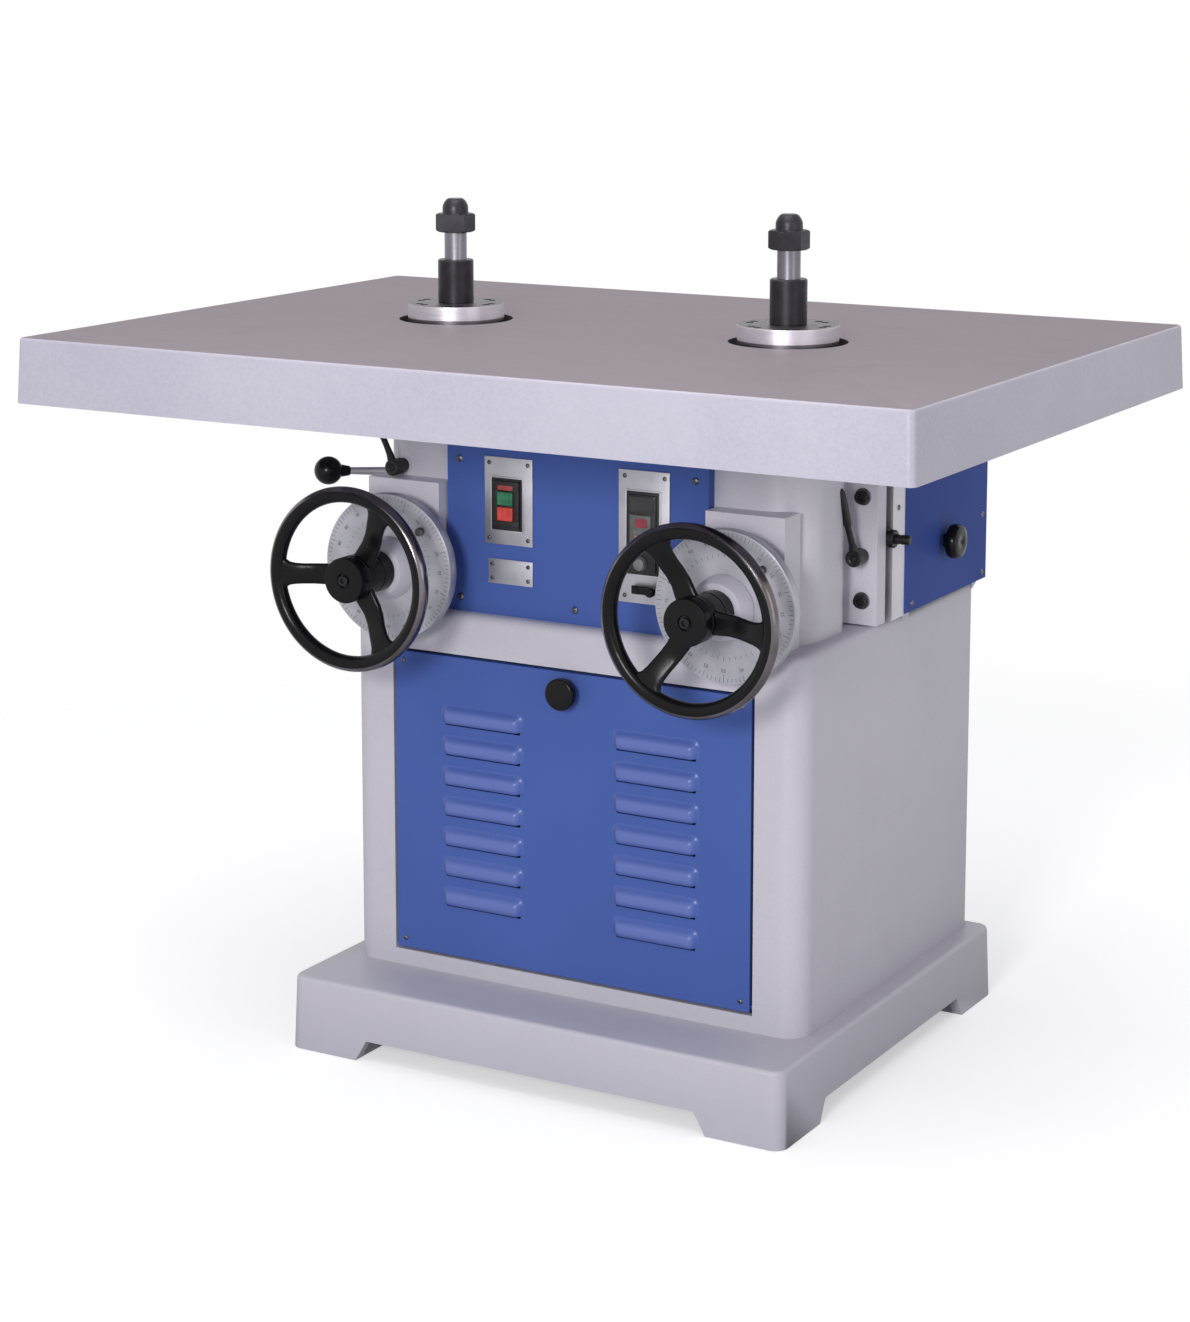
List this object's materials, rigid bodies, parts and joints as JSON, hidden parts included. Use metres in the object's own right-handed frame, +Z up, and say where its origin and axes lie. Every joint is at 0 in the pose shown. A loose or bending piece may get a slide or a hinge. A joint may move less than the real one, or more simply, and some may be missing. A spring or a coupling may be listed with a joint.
{
  "type": "double spindle moulder",
  "caption": "Cast table on a louvred cabinet with two vertical cutter spindles, each raised by its own dialled handwheel and driven by its own motor.",
  "frame": {"origin": "centre of the rectangle of the four foot sockets, at the floor", "axes": "+X to the operator's right along the table, +Y to the machine's back, +Z up"},
  "size_m": [1.261, 0.9095, 1.1375],
  "materials": {
    "grey_paint": "satin light grey paint",
    "blue_paint": "satin blue paint",
    "ground_iron": "ground cast iron",
    "machined_iron": "machined cast iron",
    "steel": "turned steel",
    "dark_steel": "blackened steel",
    "black_iron": "black gloss enamel",
    "black_plastic": "moulded black plastic",
    "grey_plastic": "moulded grey plastic",
    "green_plastic": "moulded green plastic",
    "red_plastic": "moulded red plastic",
    "aluminium": "brushed aluminium",
    "motor_paint": "dark grey paint",
    "belt_rubber": "flat drive belt"
  },
  "bodies": {
    "root": {"base": "grey_paint", "way_frames": "machined_iron", "head_left": "grey_paint", "head_right": "grey_paint", "clamp_bolts": "steel", "table_bolts": "steel", "table": "ground_iron", "rear_covers": "blue_paint", "cover_screws": "steel", "front_panel": "blue_paint", "switch_plates": "aluminium", "plate_screws": "steel", "starter": "black_plastic", "controller": "black_plastic", "side_cover_left": "blue_paint", "side_cover_right": "blue_paint", "cable_gland": "black_plastic", "wheel_bearings": "grey_paint", "plunger_body": "dark_steel"},
    "front_door": {"front_door": "blue_paint", "door_knob": "black_plastic", "door_screws": "steel"},
    "start_button": {"start_button": "green_plastic"},
    "stop_button": {"stop_button": "red_plastic"},
    "speed_knob": {"speed_knob": "grey_plastic"},
    "changeover_lever": {"changeover_lever": "black_plastic"},
    "ball_lever": {"ball_lever": "black_plastic"},
    "plunger": {"plunger": "dark_steel"},
    "carriage_left": {"carriage_left": "machined_iron", "sleeve_left": "steel", "quill_cap_left": "steel", "cap_screws_left": "dark_steel", "belt_left": "belt_rubber", "motor_left": "motor_paint"},
    "spindle_left": {"spindle_left": "steel", "collar_left": "dark_steel", "arbor_nut_left": "dark_steel"},
    "rotor_left": {"motor_rotor_left": "steel"},
    "lift_screw_left": {"lift_screw_left": "steel"},
    "wheel_left": {"handwheel_left": "black_iron", "wheel_shaft_left": "steel"},
    "dial_left": {"dial_left": "aluminium"},
    "ratchet_lever_left": {"ratchet_lever_left": "black_plastic"},
    "side_knob_left": {"side_knob_left": "black_plastic"},
    "carriage_right": {"carriage_right": "machined_iron", "sleeve_right": "steel", "quill_cap_right": "steel", "cap_screws_right": "dark_steel", "belt_right": "belt_rubber", "motor_right": "motor_paint"},
    "spindle_right": {"spindle_right": "steel", "collar_right": "dark_steel", "arbor_nut_right": "dark_steel"},
    "rotor_right": {"motor_rotor_right": "steel"},
    "lift_screw_right": {"lift_screw_right": "steel"},
    "wheel_right": {"handwheel_right": "black_iron", "wheel_shaft_right": "steel"},
    "dial_right": {"dial_right": "aluminium"},
    "ratchet_lever_right": {"ratchet_lever_right": "black_plastic"},
    "side_knob_right": {"side_knob_right": "black_plastic"}
  },
  "joints": [
    {"name": "door_drop", "type": "hinge", "parent": "root", "child": "front_door", "pos_m": [0, -0.219, 0.133], "axis": [1, 0, 0], "range_deg": [0, 90]},
    {"name": "start_press", "type": "slide", "parent": "root", "child": "start_button", "axis": [0, 1, 0], "range_m": [0, 0.003], "stiffness_N_per_m": 400},
    {"name": "stop_press", "type": "slide", "parent": "root", "child": "stop_button", "axis": [0, 1, 0], "range_m": [0, 0.003], "stiffness_N_per_m": 400},
    {"name": "speed_turn", "type": "hinge", "parent": "root", "child": "speed_knob", "pos_m": [0.101, -0.215, 0.692], "axis": [0, 1, 0], "range_deg": [-135, 135]},
    {"name": "changeover_turn", "type": "hinge", "parent": "root", "child": "changeover_lever", "pos_m": [0.094, -0.21, 0.6575], "axis": [0, 1, 0], "range_deg": [-40, 40]},
    {"name": "ball_lever_turn", "type": "hinge", "parent": "root", "child": "ball_lever", "pos_m": [-0.33, -0.096, 0.757], "axis": [1, 0, 0], "range_deg": [-40, 50]},
    {"name": "plunger_pull", "type": "slide", "parent": "root", "child": "plunger", "axis": [1, 0, 0], "range_m": [0, 0.006], "stiffness_N_per_m": 400},
    {"name": "wheel_turn_left", "type": "hinge", "parent": "root", "child": "wheel_left", "pos_m": [-0.25, -0.36, 0.662], "axis": [0, 1, 0], "range_deg": [-2880, 720]},
    {"name": "lift_left", "type": "slide", "parent": "root", "child": "carriage_left", "axis": [0, 0, 1], "range_m": [-0.0801, 0.0201]},
    {"name": "lift_screw_turn_left", "type": "hinge", "parent": "root", "child": "lift_screw_left", "pos_m": [-0.25, -0.16, 0.7], "axis": [0, 0, 1], "range_deg": [-721, 2881]},
    {"name": "dial_turn_left", "type": "hinge", "parent": "root", "child": "dial_left", "pos_m": [-0.25, -0.26, 0.662], "axis": [0, 1, 0], "continuous": true},
    {"name": "spindle_spin_left", "type": "hinge", "parent": "carriage_left", "child": "spindle_left", "pos_m": [-0.25, -0.096, 0.9], "axis": [0, 0, 1], "continuous": true},
    {"name": "motor_spin_left", "type": "hinge", "parent": "carriage_left", "child": "rotor_left", "pos_m": [-0.25, 0.17, 0.55], "axis": [0, 0, 1], "continuous": true},
    {"name": "side_knob_turn_left", "type": "hinge", "parent": "root", "child": "side_knob_left", "pos_m": [-0.349, 0.189, 0.679], "axis": [1, 0, 0], "range_deg": [0, 90]},
    {"name": "wheel_turn_right", "type": "hinge", "parent": "root", "child": "wheel_right", "pos_m": [0.25, -0.36, 0.662], "axis": [0, 1, 0], "range_deg": [-2880, 720]},
    {"name": "lift_right", "type": "slide", "parent": "root", "child": "carriage_right", "axis": [0, 0, 1], "range_m": [-0.0801, 0.0201]},
    {"name": "lift_screw_turn_right", "type": "hinge", "parent": "root", "child": "lift_screw_right", "pos_m": [0.25, -0.16, 0.7], "axis": [0, 0, 1], "range_deg": [-721, 2881]},
    {"name": "dial_turn_right", "type": "hinge", "parent": "root", "child": "dial_right", "pos_m": [0.25, -0.26, 0.662], "axis": [0, 1, 0], "continuous": true},
    {"name": "spindle_spin_right", "type": "hinge", "parent": "carriage_right", "child": "spindle_right", "pos_m": [0.25, -0.096, 0.9], "axis": [0, 0, 1], "continuous": true},
    {"name": "motor_spin_right", "type": "hinge", "parent": "carriage_right", "child": "rotor_right", "pos_m": [0.25, 0.17, 0.55], "axis": [0, 0, 1], "continuous": true},
    {"name": "side_knob_turn_right", "type": "hinge", "parent": "root", "child": "side_knob_right", "pos_m": [0.349, 0.189, 0.679], "axis": [1, 0, 0], "range_deg": [0, 90]},
    {"name": "ratchet_turn_right", "type": "hinge", "parent": "root", "child": "ratchet_lever_right", "pos_m": [0.327, -0.029, 0.694], "axis": [0, 1, 0], "range_deg": [0, 80]},
    {"name": "ratchet_turn_left", "type": "hinge", "parent": "root", "child": "ratchet_lever_left", "pos_m": [-0.274, -0.19, 0.786], "axis": [0, 1, 0], "range_deg": [-60, 60]}
  ],
  "couplings": [
    {"joint": "lift_left", "follows": "wheel_turn_left", "m_per_rad": 0.0015915},
    {"joint": "lift_screw_turn_left", "follows": "wheel_turn_left", "ratio": -1},
    {"joint": "motor_spin_left", "follows": "spindle_spin_left", "ratio": 0.66667},
    {"joint": "lift_right", "follows": "wheel_turn_right", "m_per_rad": 0.0015915},
    {"joint": "lift_screw_turn_right", "follows": "wheel_turn_right", "ratio": -1},
    {"joint": "motor_spin_right", "follows": "spindle_spin_right", "ratio": 0.66667}
  ]
}
